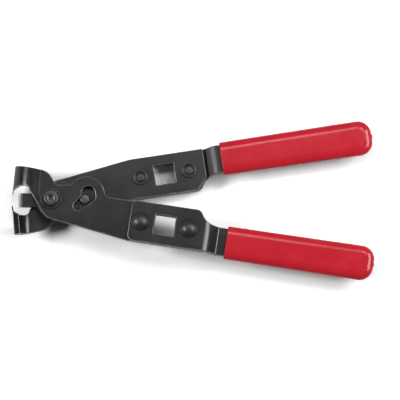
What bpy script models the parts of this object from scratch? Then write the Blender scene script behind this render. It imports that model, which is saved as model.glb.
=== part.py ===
"""Ear clamp pliers for boot clamps: two plate jaws on one pivot screw, with an anvil slide between them.

Metres, +Z up. The tool lies flat: +X runs from the jaws to the grips, and +Z faces the viewer.
Each half is a jaw plate with a jaw bent out of it, riveted to a handle bar in a vinyl grip.
Both halves are one design: the rear half is the front half turned half a turn about X, so a half
is drawn once, around the pivot, with its jaw towards +Y and its arm towards -Y.
A cam pin in the anvil rides in a slanted slot in each plate and drives the anvil between the jaws.
"""

import math

import bmesh
import bpy
from mathutils import Matrix, Vector

# Shared fits
GAP = 0.0003  # air between pieces that touch
OVERRUN = 0.002  # how far a cut runs past the face it starts from
ARC_STEP = math.radians(12)  # the most that one facet of a corner turns
ROUND_SIDES = 32

# Layers, measured from the middle plane of the tool
ANVIL_THICKNESS = 0.005
PLATE_THICKNESS = 0.004
BAR_THICKNESS = 0.004
PLATE_LOW = ANVIL_THICKNESS / 2 + GAP
PLATE_HIGH = PLATE_LOW + PLATE_THICKNESS
BAR_LOW = PLATE_HIGH + GAP
BAR_HIGH = BAR_LOW + BAR_THICKNESS

# Arm of a half: u runs along the arm from the pivot, v outwards from the line of the arm
ARM_ANGLE = math.radians(8.6)
ARM_INSET = 0.0067  # how far the inner edge passes the line of the arm
ARM_WIDTH = 0.0263
ARM_OUTER = ARM_WIDTH - ARM_INSET

# Jaw plate, round the pivot
PLATE_END = 0.1023
PLATE_END_CUT = 0.0066  # length of the slanted corner along the arm
PLATE_END_CUT_DEPTH = 0.0076
PLATE_END_BEVEL = 0.002  # hidden bevel that clears the bend of the handle bar
PLATE_CORNER = 0.001
JAW_LEAN = math.radians(4.8)
JAW_REACH = 0.0257
JAW_BEND_START = 0.0079
JAW_SLOPE = math.radians(7)
JAW_BEND_RADIUS = 0.0131
JAW_STRAIGHT = 0.0001  # length of jaw wall past its bend
JAW_TOP = 0.0243
JAW_OUTSIDE = JAW_REACH + OVERRUN
SLOPE_RADIUS = 0.004
MOUTH_HALF = 0.0055
TIP_HALF = 0.0045  # from the middle to the nose of the jaw
FLARE_X = 0.02
FLARE_RADIUS = 0.0052
NOTCH_DEPTH = 0.0075  # from the jaw face to the middle of the notch
NOTCH_X = JAW_REACH - NOTCH_DEPTH
NOTCH_Y = 0.0055
NOTCH_RADIUS = 0.0041
FLANGE_X = 0.0016
FLANGE_Y = 0.0182
FLANGE_RADIUS = 0.0095
NECK_X = 0.003
NECK_Y = 0.0091
NECK_RADIUS = 0.005
LOBE_X = 0.0231
LOBE_Y = 0.0029
LOBE_RADIUS = 0.0118
LOBE_FROM = math.radians(135)
LOBE_TO = math.radians(10)
LOBE_FILLET = 0.004
THROAT_X = 0.0138
HEEL_X = 0.004
HEEL_Y = 0.0117
HEEL_RADIUS = 0.01
HIP_X = 0.0087
HIP_Y = 0.0152
HIP_RADIUS = 0.03
SHOULDER_U = 0.0541
SHOULDER_RADIUS = 0.03

# Rivets and the square drive hole, on one line along the arm
OUTER_RIVET_SETBACK = 0.0108  # from the plate end
RIVET_SPACING = 0.0318
OUTER_RIVET_U = PLATE_END - OUTER_RIVET_SETBACK
INNER_RIVET_U = OUTER_RIVET_U - RIVET_SPACING
RIVET_OFFSET = 0.0002  # from the middle of the arm
RIVET_V = ARM_WIDTH / 2 - ARM_INSET + RIVET_OFFSET
RIVET_SHANK = 0.0036
RIVET_HEAD = 0.0058
RIVET_HEAD_HEIGHT = 0.0034
RIVET_HEAD_RIM = 0.0006
RIVET_DOME_RINGS = 6
RIVET_TAIL = 0.0048
RIVET_TAIL_HEIGHT = 0.0012
RIVET_TAIL_EDGE = 0.0004
RIVET_RECESS = 0.0031
RIVET_RECESS_DEPTH = 0.001
DRIVE_SQUARE = 0.0127
DRIVE_CLEARANCE = 0.0002
DRIVE_CORNER = 0.0006

# Handle bar
BAR_LEAD = 0.0071  # from the inner rivet to the start of the bar
BAR_START = INNER_RIVET_U - BAR_LEAD
BAR_CORNER = 0.004
BAR_END = 0.2105
BAR_END_RADIUS = 0.007
STRIP_WIDTH = 0.0182
STRIP_INNER = ARM_OUTER - STRIP_WIDTH
WAIST_SETBACK = 0.0047
WAIST_RUN = 0.005
WAIST_START = PLATE_END - WAIST_SETBACK
WAIST_END = WAIST_START + WAIST_RUN
WAIST_CORNER = 0.0045
WAIST_FILLET = 0.009
JOGGLE_START = PLATE_END - PLATE_END_BEVEL
JOGGLE_ANGLE = math.radians(60)
JOGGLE_PLATE_RADIUS = 0.0042  # inside radius of the bend at the plate end
JOGGLE_STRIP_RADIUS = 0.0018  # inside radius of the bend at the strip

# Grips
FRONT_GRIP_SETBACK = 0.0141  # bare strip between the plate end and the grip
REAR_GRIP_SETBACK = 0.0111
FRONT_GRIP_OVERHANG = 0.0031  # vinyl past the end of the strip
REAR_GRIP_OVERHANG = 0.0023
GRIP_FRONT_WIDTH = 0.0217
GRIP_END_WIDTH = 0.0229
GRIP_THICKNESS = 0.0076
GRIP_LIP = 0.0007
GRIP_DOME = 0.009
GRIP_BODY_RINGS = 6
GRIP_DOME_RINGS = 7
GRIP_EDGE_POINTS = 9
GRIP_PLAN_POWER = 0.55  # lower is blunter, seen from above
GRIP_SIDE_POWER = 0.45

# Pivot
SHOULDER_BOLT = 0.004
SCREW_HEAD = 0.0045
SCREW_HEAD_HEIGHT = 0.003
SCREW_HEAD_EDGE = 0.0005
SCREW_SOCKET = 0.004  # across flats
SCREW_SOCKET_DEPTH = 0.002
THREAD = 0.003
THREAD_EDGE = 0.0006
WASHER = 0.00675
WASHER_THICKNESS = 0.001
NUT_FLATS = 0.01
NUT_HEIGHT = 0.005
NUT_EDGE = 0.0007
NUT_STAND = 0.0005  # thread that shows past the nut

# Anvil slide and its cam pin
ANVIL_SETBACK = 0.0045  # from the jaw face to the tip of the anvil at rest
ANVIL_REACH = JAW_REACH - ANVIL_SETBACK
ANVIL_BEVEL = 0.003
ANVIL_TIP_THICKNESS = 0.001
ANVIL_TIP_RADIUS = 0.001
TONGUE_WIDTH = 0.0091
TONGUE_THICKNESS = 0.0034
TONGUE_STEP_X = 0.007
TONGUE_STEP_RUN = 0.002
TONGUE_BACK = 0.0095
TONGUE_FILLET = 0.0015
ANVIL_SHOULDER_X = 0.0025
ANVIL_SHOULDER_RADIUS = 0.003
ANVIL_WIDTH = 0.0242
ANVIL_BACK = 0.03
ANVIL_BACK_RADIUS = 0.008
PIN_RADIUS = 0.0028
PIN_SHORTFALL = 0.001  # how far each pin end lies below the outer face of its plate
PIN_EDGE = 0.0004
CAM_RADIUS = 0.0219  # from the pivot to the pin at rest
CAM_RISE = 0.015  # growth of that distance for each radian that a half turns
CAM_FROM = math.radians(-14.5)
CAM_TO = math.radians(12)
CAM_POINTS = 10
POCKET_X = 0.0246
POCKET_Y = 0.0016
POCKET_LENGTH = 0.0027
POCKET_TILT = math.radians(100)
POCKET_RADIUS = 0.00435
SLIDE_FORWARD = 0.0026
SLIDE_BACK = 0.0036

CUT_HEIGHT = BAR_HIGH + OVERRUN


def clear_scene():
    for thing in list(bpy.data.objects):
        bpy.data.objects.remove(thing)


def metal(name, colour, roughness, metallic):
    """A plain shader for one finish."""
    material = bpy.data.materials.new(name)
    material.use_nodes = True
    shader = material.node_tree.nodes["Principled BSDF"]
    shader.inputs["Base Color"].default_value = (*colour, 1.0)
    shader.inputs["Roughness"].default_value = roughness
    shader.inputs["Metallic"].default_value = metallic
    material.diffuse_color = (*colour, 1.0)
    return material


def black_oxide(name):
    return metal(name, (0.034, 0.036, 0.039), 0.42, 0.85)


def worn_oxide(name):
    return metal(name, (0.075, 0.072, 0.07), 0.4, 0.9)


def dipped_vinyl(name):
    return metal(name, (0.58, 0.026, 0.045), 0.22, 0.0)


def group(name, parent=None):
    """An empty on the pivot that carries the pieces of one moving body."""
    empty = bpy.data.objects.new(name, None)
    bpy.context.scene.collection.objects.link(empty)
    empty.parent = parent
    return empty


def piece(name, mesh, parent, material=None):
    """An object for the mesh, its faces turned outwards and its round faces smooth."""
    bmesh.ops.remove_doubles(mesh, verts=mesh.verts, dist=GAP / 100)
    bmesh.ops.recalc_face_normals(mesh, faces=mesh.faces)
    data = bpy.data.meshes.new(name)
    mesh.to_mesh(data)
    mesh.free()
    data.shade_smooth()
    data.set_sharp_from_angle(angle=math.radians(32))
    made = bpy.data.objects.new(name, data)
    bpy.context.scene.collection.objects.link(made)
    made.parent = parent
    if material:
        data.materials.append(material)
    return made


def shape(target, tool, operation="DIFFERENCE"):
    """Cuts the tool out of the target, or keeps only what both share, and hides the tool."""
    tool.parent = target.parent
    tool.hide_render = True
    tool.display_type = "WIRE"
    cut = target.modifiers.new(tool.name, "BOOLEAN")
    cut.object = tool
    cut.operation = operation
    cut.solver = "EXACT"


def rounded(corners):
    """The outline through corners (x, y, radius), each corner turned by an arc of its radius."""
    points = []
    for index, (x, y, radius) in enumerate(corners):
        corner = Vector((x, y))
        if radius == 0:
            points.append(corner)
            continue
        back = (Vector(corners[index - 1][:2]) - corner).normalized()
        ahead = (Vector(corners[(index + 1) % len(corners)][:2]) - corner).normalized()
        half = back.angle(ahead) / 2
        centre = corner + (back + ahead).normalized() * radius / math.sin(half)
        spoke = corner + back * radius / math.tan(half) - centre
        sweep = math.copysign(math.pi - 2 * half, back.y * ahead.x - back.x * ahead.y)
        steps = max(2, math.ceil(abs(sweep) / ARC_STEP))
        points += [centre + Matrix.Rotation(sweep * k / steps, 2) @ spoke for k in range(steps + 1)]
    return points


def circle(x, y, radius, sides=ROUND_SIDES):
    """A ring of points whose facets lie on the circle at their middles, so a bore stays clear."""
    reach = radius / math.cos(math.pi / sides)
    angles = [2 * math.pi * (k + 0.5) / sides for k in range(sides)]
    return [Vector((x + reach * math.cos(a), y + reach * math.sin(a))) for a in angles]


def capsule(x, y, length, tilt, radius):
    """A slot outline: two half circles, length apart along the tilt, starting at (x, y)."""
    points = []
    half = ROUND_SIDES // 2
    for end, turn in ((0, math.pi / 2), (length, -math.pi / 2)):
        for k in range(half + 1):
            angle = tilt + turn + math.pi * k / half
            middle = Vector((x + end * math.cos(tilt), y + end * math.sin(tilt)))
            points.append(middle + radius * Vector((math.cos(angle), math.sin(angle))))
    return points


def meet(point, way, other, other_way):
    """Where the line through point along way crosses the line through other along other_way."""
    across = Vector((-other_way.y, other_way.x))
    return point + way * ((other - point).dot(across) / way.dot(across))


def on_plan(a, b, c):
    """Outline (x, y), pulled up along Z."""
    return Vector((a, b, c))


def on_side(a, b, c):
    """Outline (x, z), pulled along Y."""
    return Vector((a, c, b))


def arm_point(u, v):
    along, out = math.cos(ARM_ANGLE), math.sin(ARM_ANGLE)
    return Vector((u * along - v * out, -u * out - v * along))


def on_arm(a, b, c):
    """Outline (u, v), pulled up along Z."""
    return Vector((*arm_point(a, b), c))


def on_arm_side(a, b, c):
    """Outline (u, z), pulled across the arm."""
    return Vector((*arm_point(a, c), b))


def on_jaw_side(a, b, c):
    """Outline (x, z) of the leaning jaw, pulled along its bend line."""
    along, across = math.cos(JAW_LEAN), math.sin(JAW_LEAN)
    return Vector((a * along + c * across, c * along - a * across, b))


def extrusion(name, outline, low, high, place=on_plan, parent=None, material=None):
    """A closed prism over the outline, from low to high along the third direction of place."""
    mesh = bmesh.new()
    ends = [[mesh.verts.new(place(p[0], p[1], level)) for p in outline] for level in (low, high)]
    for end in ends:
        mesh.faces.new(end)
    for k in range(len(outline)):
        mesh.faces.new((ends[0][k - 1], ends[0][k], ends[1][k], ends[1][k - 1]))
    return piece(name, mesh, parent, material)


def turned(name, profile, closed=False, x=0, y=0, parent=None, material=None):
    """A turned piece on the axis through (x, y), from profile points (radius, z)."""
    mesh = bmesh.new()
    chain = [mesh.verts.new((x + radius, y, z)) for radius, z in profile]
    edges = [mesh.edges.new(pair) for pair in zip(chain, chain[1:])]
    if closed:
        edges.append(mesh.edges.new((chain[-1], chain[0])))
    bmesh.ops.spin(
        mesh, geom=chain + edges, cent=(x, y, 0), axis=(0, 0, 1),
        angle=2 * math.pi, steps=ROUND_SIDES, use_merge=True,
    )
    return piece(name, mesh, parent, material)


def hexagon(flats):
    reach = flats / 2 / math.cos(math.pi / 6)
    return [Vector((reach * math.cos(k * math.pi / 3), reach * math.sin(k * math.pi / 3))) for k in range(6)]


def lobe_corners():
    """Corners that wrap the round lobe of the plate from its neck to the inner edge of the arm."""
    centre = Vector((LOBE_X, LOBE_Y))
    spokes = [Vector((math.cos(a), math.sin(a))) for a in (LOBE_FROM, (LOBE_FROM + LOBE_TO) / 2, LOBE_TO)]
    rims = [(centre + LOBE_RADIUS * s, Vector((s.y, -s.x))) for s in spokes]
    neck = meet(*rims[0], Vector((NECK_X, NECK_Y)), Vector((1, 0)))
    inner = arm_point(0, -ARM_INSET)
    crook = meet(*rims[2], inner, arm_point(ARM_WIDTH, -ARM_INSET) - inner)
    return [
        (*neck, LOBE_FILLET),
        (*meet(*rims[0], *rims[1]), LOBE_RADIUS),
        (*meet(*rims[1], *rims[2]), LOBE_RADIUS),
        (*crook, LOBE_FILLET),
    ]


def plate_outline():
    """Plan of a jaw plate, clockwise from the top of its jaw."""
    return rounded([
        (-JAW_OUTSIDE, JAW_TOP, 0),
        (-FLANGE_X, FLANGE_Y, FLANGE_RADIUS),
        (NECK_X, NECK_Y, NECK_RADIUS),
        *lobe_corners(),
        (*arm_point(PLATE_END - PLATE_END_CUT, -ARM_INSET), PLATE_CORNER),
        (*arm_point(PLATE_END, PLATE_END_CUT_DEPTH - ARM_INSET), PLATE_CORNER),
        (*arm_point(PLATE_END, ARM_OUTER), PLATE_CORNER),
        (*arm_point(SHOULDER_U, ARM_OUTER), SHOULDER_RADIUS),
        (HIP_X, -HIP_Y, HIP_RADIUS),
        (-HEEL_X, -HEEL_Y, HEEL_RADIUS),
        (-THROAT_X, MOUTH_HALF, 0),
        (-FLARE_X, MOUTH_HALF, 0),
        (-FLARE_X, TIP_HALF, 0),
        (-JAW_OUTSIDE, TIP_HALF, 0),
    ])


def jaw_section():
    """Side of a jaw plate: flat over the pivot, sloping, then bent down into the jaw wall."""
    inner_start = JAW_BEND_START - PLATE_THICKNESS * math.tan(JAW_SLOPE / 2)
    inner_reach = JAW_REACH - PLATE_THICKNESS
    fall = math.tan(JAW_SLOPE)
    far = PLATE_END + ARM_WIDTH
    outer_corner = PLATE_HIGH - (JAW_REACH - JAW_BEND_START) * fall
    inner_corner = PLATE_LOW - (inner_reach - inner_start) * fall
    bend = JAW_BEND_RADIUS * math.tan((math.pi / 2 - JAW_SLOPE) / 2)
    wall_end = outer_corner - bend - JAW_STRAIGHT
    return rounded([
        (far, PLATE_HIGH, 0),
        (-JAW_BEND_START, PLATE_HIGH, SLOPE_RADIUS),
        (-JAW_REACH, outer_corner, JAW_BEND_RADIUS),
        (-JAW_REACH, wall_end, 0),
        (-inner_reach, wall_end, 0),
        (-inner_reach, inner_corner, JAW_BEND_RADIUS - PLATE_THICKNESS),
        (-inner_start, PLATE_LOW, SLOPE_RADIUS),
        (far, PLATE_LOW, 0),
    ])


def cam_place(angle):
    """Middle of the slot at this angle about the pivot."""
    return (CAM_RADIUS + CAM_RISE * angle) * Vector((math.cos(angle), math.sin(angle)))


def cam_slot():
    """The slot that drives the pin: an arc whose distance from the pivot grows as it turns."""
    reach = PIN_RADIUS + GAP
    sides, ends = ([], []), []
    for k in range(CAM_POINTS + 1):
        angle = CAM_FROM + (CAM_TO - CAM_FROM) * k / CAM_POINTS
        middle = cam_place(angle)
        way = Vector((CAM_RISE * math.cos(angle) - middle.y, CAM_RISE * math.sin(angle) + middle.x))
        side = Vector((way.y, -way.x)).normalized() * reach
        sides[0].append(middle + side)
        sides[1].append(middle - side)
        ends.append((middle, side))
    half = ROUND_SIDES // 2
    (start, start_side), (end, end_side) = ends[0], ends[-1]
    far_cap = [end + Matrix.Rotation(math.pi * k / half, 2) @ end_side for k in range(1, half)]
    near_cap = [start - Matrix.Rotation(math.pi * k / half, 2) @ start_side for k in range(1, half)]
    return sides[0] + far_cap + sides[1][::-1] + near_cap


def pocket_outline():
    """The assembly pocket at the high end of the slot."""
    return capsule(POCKET_X, POCKET_Y, POCKET_LENGTH, POCKET_TILT, POCKET_RADIUS)


def cam_relief():
    """Fills the bay between pocket and slot, so that one straight edge joins their outer sides."""
    pocket, low_end = Vector((POCKET_X, POCKET_Y)), cam_place(CAM_FROM)
    line = pocket - low_end
    turn = math.acos((PIN_RADIUS + GAP - POCKET_RADIUS) / line.length)
    outward = Matrix.Rotation(-turn, 2) @ line.normalized()
    rims = [max(ring, key=outward.dot) for ring in (cam_slot(), pocket_outline())]
    return [low_end, *rims, pocket]


def rivet_places():
    return [arm_point(u, RIVET_V) for u in (INNER_RIVET_U, OUTER_RIVET_U)]


def drive_outline():
    """The square drive hole, midway between the rivets and in line with the arm."""
    middle = (INNER_RIVET_U + OUTER_RIVET_U) / 2
    half = DRIVE_SQUARE / 2 + DRIVE_CLEARANCE
    signs = ((-1, -1), (1, -1), (1, 1), (-1, 1))
    return rounded([(middle + a * half, RIVET_V + b * half, DRIVE_CORNER) for a, b in signs])


def through(target, name, outline, place=on_plan):
    """Cuts the outline straight through every layer of the target."""
    shape(target, extrusion(name, outline, -CUT_HEIGHT, CUT_HEIGHT, place))


def arm_holes(target):
    """The rivet holes and the drive hole that plate and bar share."""
    for k, (x, y) in enumerate(rivet_places()):
        through(target, f"{target.name}_rivet_hole_{k}", circle(x, y, RIVET_SHANK + GAP))
    through(target, f"{target.name}_drive_hole", drive_outline(), on_arm)


def jaw_plate(side, parent):
    name = f"{side}_jaw_plate"
    finish = black_oxide(name)
    plate = extrusion(name, plate_outline(), -CUT_HEIGHT, CUT_HEIGHT, parent=parent, material=finish)
    width = JAW_TOP + PLATE_END
    shape(plate, extrusion(f"{name}_section", jaw_section(), -width, width, on_jaw_side), "INTERSECT")
    through(plate, f"{name}_notch", circle(-NOTCH_X, NOTCH_Y, NOTCH_RADIUS))
    through(plate, f"{name}_flare", circle(-FLARE_X, TIP_HALF, FLARE_RADIUS))
    through(plate, f"{name}_pivot_hole", circle(0, 0, SHOULDER_BOLT + GAP))
    through(plate, f"{name}_cam_slot", cam_slot())
    through(plate, f"{name}_pocket", pocket_outline())
    through(plate, f"{name}_relief", cam_relief())
    arm_holes(plate)
    bevel = PLATE_END_BEVEL + OVERRUN
    corner = [
        (PLATE_END + OVERRUN, PLATE_HIGH + OVERRUN),
        (PLATE_END + OVERRUN, PLATE_HIGH - bevel),
        (PLATE_END - bevel, PLATE_HIGH + OVERRUN),
    ]
    shape(plate, extrusion(f"{name}_end_bevel", corner, -ARM_WIDTH, ARM_WIDTH, on_arm_side))
    return plate


def bar_outline():
    """Plan of a handle bar: a wide plate that narrows to the strip inside the grip."""
    return rounded([
        (BAR_START, -ARM_INSET, BAR_CORNER),
        (WAIST_START, -ARM_INSET, WAIST_CORNER),
        (WAIST_END, STRIP_INNER, WAIST_FILLET),
        (BAR_END, STRIP_INNER, BAR_END_RADIUS),
        (BAR_END, ARM_OUTER, BAR_END_RADIUS),
        (BAR_START, ARM_OUTER, BAR_CORNER),
    ])


def bar_section():
    """Side of a handle bar: flat on the jaw plate, then joggled down to the middle plane."""
    half = BAR_THICKNESS / 2
    top = BAR_LOW + half
    lean = half * math.tan(JOGGLE_ANGLE / 2)
    first = JOGGLE_START + (JOGGLE_PLATE_RADIUS + half) * math.tan(JOGGLE_ANGLE / 2)
    second = first + top / math.tan(JOGGLE_ANGLE)
    return rounded([
        (BAR_START - OVERRUN, top + half, 0),
        (first + lean, top + half, JOGGLE_PLATE_RADIUS + BAR_THICKNESS),
        (second + lean, half, JOGGLE_STRIP_RADIUS),
        (BAR_END + OVERRUN, half, 0),
        (BAR_END + OVERRUN, -half, 0),
        (second - lean, -half, JOGGLE_STRIP_RADIUS + BAR_THICKNESS),
        (first - lean, top - half, JOGGLE_PLATE_RADIUS),
        (BAR_START - OVERRUN, top - half, 0),
    ])


def handle_bar(side, parent):
    name = f"{side}_handle_bar"
    finish = black_oxide(name)
    bar = extrusion(name, bar_outline(), -CUT_HEIGHT, CUT_HEIGHT, on_arm, parent, finish)
    section = extrusion(f"{name}_section", bar_section(), -ARM_WIDTH, ARM_WIDTH, on_arm_side)
    shape(bar, section, "INTERSECT")
    arm_holes(bar)
    return bar


def rivet(side, which, x, y, parent):
    """Domed head on the handle bar, shank through both plates, and a rolled tail with a recess."""
    head = BAR_HIGH + GAP
    tail = PLATE_LOW - GAP
    end = tail - RIVET_TAIL_HEIGHT
    dome = RIVET_HEAD_HEIGHT - RIVET_HEAD_RIM
    angles = [math.pi / 2 * k / RIVET_DOME_RINGS for k in range(RIVET_DOME_RINGS)]
    crown = [(RIVET_HEAD * math.cos(a), head + RIVET_HEAD_RIM + dome * math.sin(a)) for a in angles]
    profile = [
        (0, end + RIVET_RECESS_DEPTH),
        (RIVET_RECESS - RIVET_TAIL_EDGE, end + RIVET_RECESS_DEPTH),
        (RIVET_RECESS, end + RIVET_TAIL_EDGE),
        (RIVET_RECESS + RIVET_TAIL_EDGE, end),
        (RIVET_TAIL - RIVET_TAIL_EDGE, end),
        (RIVET_TAIL, end + RIVET_TAIL_EDGE),
        (RIVET_TAIL, tail),
        (RIVET_SHANK, tail),
        (RIVET_SHANK, head),
        (RIVET_HEAD, head),
        *crown,
        (0, head + RIVET_HEAD_HEIGHT),
    ]
    name = f"{side}_{which}_rivet"
    return turned(name, profile, x=x, y=y, parent=parent, material=black_oxide(name))


def grip_ring(u, half_width, half_height):
    """One section of a grip: flat faces and fully round edges, in (u, v, z)."""
    centre = STRIP_INNER + STRIP_WIDTH / 2
    edge = min(half_height, half_width)
    flat = half_width - edge
    points = []
    for side in (1, -1):
        for k in range(GRIP_EDGE_POINTS):
            angle = math.pi / 2 - math.pi * k / (GRIP_EDGE_POINTS - 1)
            v = centre + side * (flat + edge * math.cos(angle))
            points.append(on_arm(u, v, side * half_height * math.sin(angle)))
    return points


def grip_rings(start, end):
    """Sections of a grip from its lip to its rounded end."""
    wide = [GRIP_FRONT_WIDTH / 2, GRIP_END_WIDTH / 2]
    half = GRIP_THICKNESS / 2
    rings = [grip_ring(start, wide[0] - GRIP_LIP, half - GRIP_LIP)]
    first, last = start + GRIP_LIP, end - GRIP_DOME
    for k in range(GRIP_BODY_RINGS):
        share = k / (GRIP_BODY_RINGS - 1)
        rings.append(grip_ring(first + (last - first) * share, wide[0] + (wide[1] - wide[0]) * share, half))
    for k in range(1, GRIP_DOME_RINGS):
        angle = math.pi / 2 * k / GRIP_DOME_RINGS
        plan = math.cos(angle) ** GRIP_PLAN_POWER
        side = math.cos(angle) ** GRIP_SIDE_POWER
        rings.append(grip_ring(last + GRIP_DOME * math.sin(angle), wide[1] * plan, half * side))
    return rings


def grip(side, start, end, parent):
    """A dipped vinyl sleeve, closed and rounded at its end, with a pocket for the strip."""
    name = f"{side}_grip"
    mesh = bmesh.new()
    rings = [[mesh.verts.new(p) for p in ring] for ring in grip_rings(start, end)]
    for near, far in zip(rings, rings[1:]):
        for k in range(len(near)):
            mesh.faces.new((near[k - 1], near[k], far[k], far[k - 1]))
    mesh.faces.new(rings[0])
    tip = mesh.verts.new(on_arm(end, STRIP_INNER + STRIP_WIDTH / 2, 0))
    for k in range(len(rings[-1])):
        mesh.faces.new((rings[-1][k - 1], rings[-1][k], tip))
    sleeve = piece(name, mesh, parent, dipped_vinyl(name))
    low, high = STRIP_INNER - GAP, ARM_OUTER + GAP
    pocket = rounded([
        (start - OVERRUN, low, 0),
        (BAR_END + GAP, low, BAR_END_RADIUS + GAP),
        (BAR_END + GAP, high, BAR_END_RADIUS + GAP),
        (start - OVERRUN, high, 0),
    ])
    depth = BAR_THICKNESS / 2 + GAP
    shape(sleeve, extrusion(f"{name}_pocket", pocket, -depth, depth, on_arm))
    return sleeve


def half(side, setback, overhang, parent):
    """One half of the tool: jaw plate, handle bar, two rivets and grip."""
    jaw_plate(side, parent)
    handle_bar(side, parent)
    for which, (x, y) in zip(("inner", "outer"), rivet_places()):
        rivet(side, which, x, y, parent)
    grip(side, PLATE_END + setback, BAR_END + overhang, parent)


def pivot_washer(side, bore, low, parent):
    """A thin flat washer on the outer face of a jaw plate."""
    name = f"{side}_pivot_washer"
    high = low + WASHER_THICKNESS
    profile = [(bore, low), (WASHER, low), (WASHER, high), (bore, high)]
    return turned(name, profile, closed=True, parent=parent, material=black_oxide(name))


def pivot_screw(nut_low, parent):
    """A shoulder screw: round head with a hex socket, bearing shoulder, and a thread for the nut."""
    name = "pivot_screw"
    head = PLATE_HIGH + GAP + WASHER_THICKNESS + GAP
    top = head + SCREW_HEAD_HEIGHT
    shoulder_end = -PLATE_HIGH
    end = nut_low - NUT_STAND
    profile = [
        (0, end),
        (THREAD - THREAD_EDGE, end),
        (THREAD, end + THREAD_EDGE),
        (THREAD, shoulder_end),
        (SHOULDER_BOLT, shoulder_end),
        (SHOULDER_BOLT, head),
        (SCREW_HEAD, head),
        (SCREW_HEAD, top - SCREW_HEAD_EDGE),
        (SCREW_HEAD - SCREW_HEAD_EDGE, top),
        (0, top),
    ]
    screw = turned(name, profile, parent=parent, material=worn_oxide(name))
    socket = extrusion(f"{name}_socket", hexagon(SCREW_SOCKET), top - SCREW_SOCKET_DEPTH, top + OVERRUN)
    shape(screw, socket)
    return screw


def pivot_nut(low, parent):
    """A hex nut with its corners turned off on both faces."""
    name = "pivot_nut"
    high = low + NUT_HEIGHT
    nut = extrusion(name, hexagon(NUT_FLATS), low, high, parent=parent, material=black_oxide(name))
    corner = NUT_FLATS / 2 / math.cos(math.pi / 6)
    wide, flat = corner + OVERRUN, corner - 2 * NUT_EDGE
    slant = (wide - flat) / 2
    barrel = [
        (0, low - OVERRUN),
        (flat, low - OVERRUN),
        (flat, low),
        (wide, low + slant),
        (wide, high - slant),
        (flat, high),
        (flat, high + OVERRUN),
        (0, high + OVERRUN),
    ]
    shape(nut, turned(f"{name}_barrel", barrel), "INTERSECT")
    shape(nut, extrusion(f"{name}_bore", circle(0, 0, THREAD + GAP), low - OVERRUN, high + OVERRUN))
    return nut


def pivot(parent):
    front_low = PLATE_HIGH + GAP
    rear_low = -PLATE_HIGH - GAP - WASHER_THICKNESS
    nut_low = rear_low - GAP - NUT_HEIGHT
    pivot_washer("front", SHOULDER_BOLT + GAP, front_low, parent)
    pivot_washer("rear", THREAD + GAP, rear_low, parent)
    pivot_nut(nut_low, parent)
    pivot_screw(nut_low, parent)


def anvil_outline():
    """Plan of the anvil slide: a narrow tongue, sloping shoulders and a wide body."""
    tongue, body = TONGUE_WIDTH / 2, ANVIL_WIDTH / 2
    edge = [
        (-ANVIL_REACH, tongue, ANVIL_TIP_RADIUS),
        (-TONGUE_BACK, tongue, TONGUE_FILLET),
        (-ANVIL_SHOULDER_X, body, ANVIL_SHOULDER_RADIUS),
        (ANVIL_BACK, body, ANVIL_BACK_RADIUS),
    ]
    return rounded(edge + [(x, -y, radius) for x, y, radius in reversed(edge)])


def anvil_section():
    """Side of the anvil slide: a bevelled tip on a thin tongue, then the full thickness."""
    edge = [
        (-ANVIL_REACH - OVERRUN, ANVIL_TIP_THICKNESS / 2),
        (-ANVIL_REACH, ANVIL_TIP_THICKNESS / 2),
        (ANVIL_BEVEL - ANVIL_REACH, TONGUE_THICKNESS / 2),
        (-TONGUE_STEP_X, TONGUE_THICKNESS / 2),
        (TONGUE_STEP_RUN - TONGUE_STEP_X, ANVIL_THICKNESS / 2),
        (ANVIL_BACK + OVERRUN, ANVIL_THICKNESS / 2),
    ]
    return edge + [(x, -z) for x, z in reversed(edge)]


def anvil_slide(parent):
    """The sliding anvil, slotted for the pivot screw and bored for the cam pin."""
    name = "anvil_slide"
    depth = ANVIL_THICKNESS
    slide = extrusion(name, anvil_outline(), -depth, depth, parent=parent, material=worn_oxide(name))
    section = extrusion(f"{name}_section", anvil_section(), -ANVIL_WIDTH, ANVIL_WIDTH, on_side)
    shape(slide, section, "INTERSECT")
    slot = capsule(-SLIDE_BACK, 0, SLIDE_BACK + SLIDE_FORWARD, 0, SHOULDER_BOLT + GAP)
    through(slide, f"{name}_pivot_slot", slot)
    through(slide, f"{name}_pin_hole", circle(CAM_RADIUS, 0, PIN_RADIUS + GAP))
    return slide


def cam_pin(parent):
    """A plain pin through the anvil, its ends just below the outer faces of the plates."""
    name = "cam_pin"
    end = PLATE_HIGH - PIN_SHORTFALL
    profile = [
        (0, -end),
        (PIN_RADIUS - PIN_EDGE, -end),
        (PIN_RADIUS, PIN_EDGE - end),
        (PIN_RADIUS, end - PIN_EDGE),
        (PIN_RADIUS - PIN_EDGE, end),
        (0, end),
    ]
    return turned(name, profile, x=CAM_RADIUS, parent=parent, material=worn_oxide(name))


def box_of_solids():
    """Lowest and highest corner of all the finished solids."""
    bpy.context.view_layer.update()
    graph = bpy.context.evaluated_depsgraph_get()
    points = []
    for thing in bpy.data.objects:
        if thing.type == "MESH" and not thing.hide_render:
            seen = thing.evaluated_get(graph)
            points += [seen.matrix_world @ vertex.co for vertex in seen.data.vertices]
    return [Vector([pick(p[k] for p in points) for k in range(3)]) for pick in (min, max)]


def main():
    clear_scene()
    tool = group("pliers")
    half("front", FRONT_GRIP_SETBACK, FRONT_GRIP_OVERHANG, group("front_half", tool))
    rear = group("rear_half", tool)
    rear.rotation_euler = (math.pi, 0, 0)
    half("rear", REAR_GRIP_SETBACK, REAR_GRIP_OVERHANG, rear)
    pivot(group("pivot_set", tool))
    carrier = group("anvil", tool)
    anvil_slide(carrier)
    cam_pin(carrier)
    low, high = box_of_solids()
    tool.location = -Vector(((low.x + high.x) / 2, (low.y + high.y) / 2, low.z))
    bpy.context.view_layer.update()
    print("pivot on the middle plane:", tuple(round(value, 6) for value in tool.location))


main()
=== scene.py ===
import math

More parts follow.
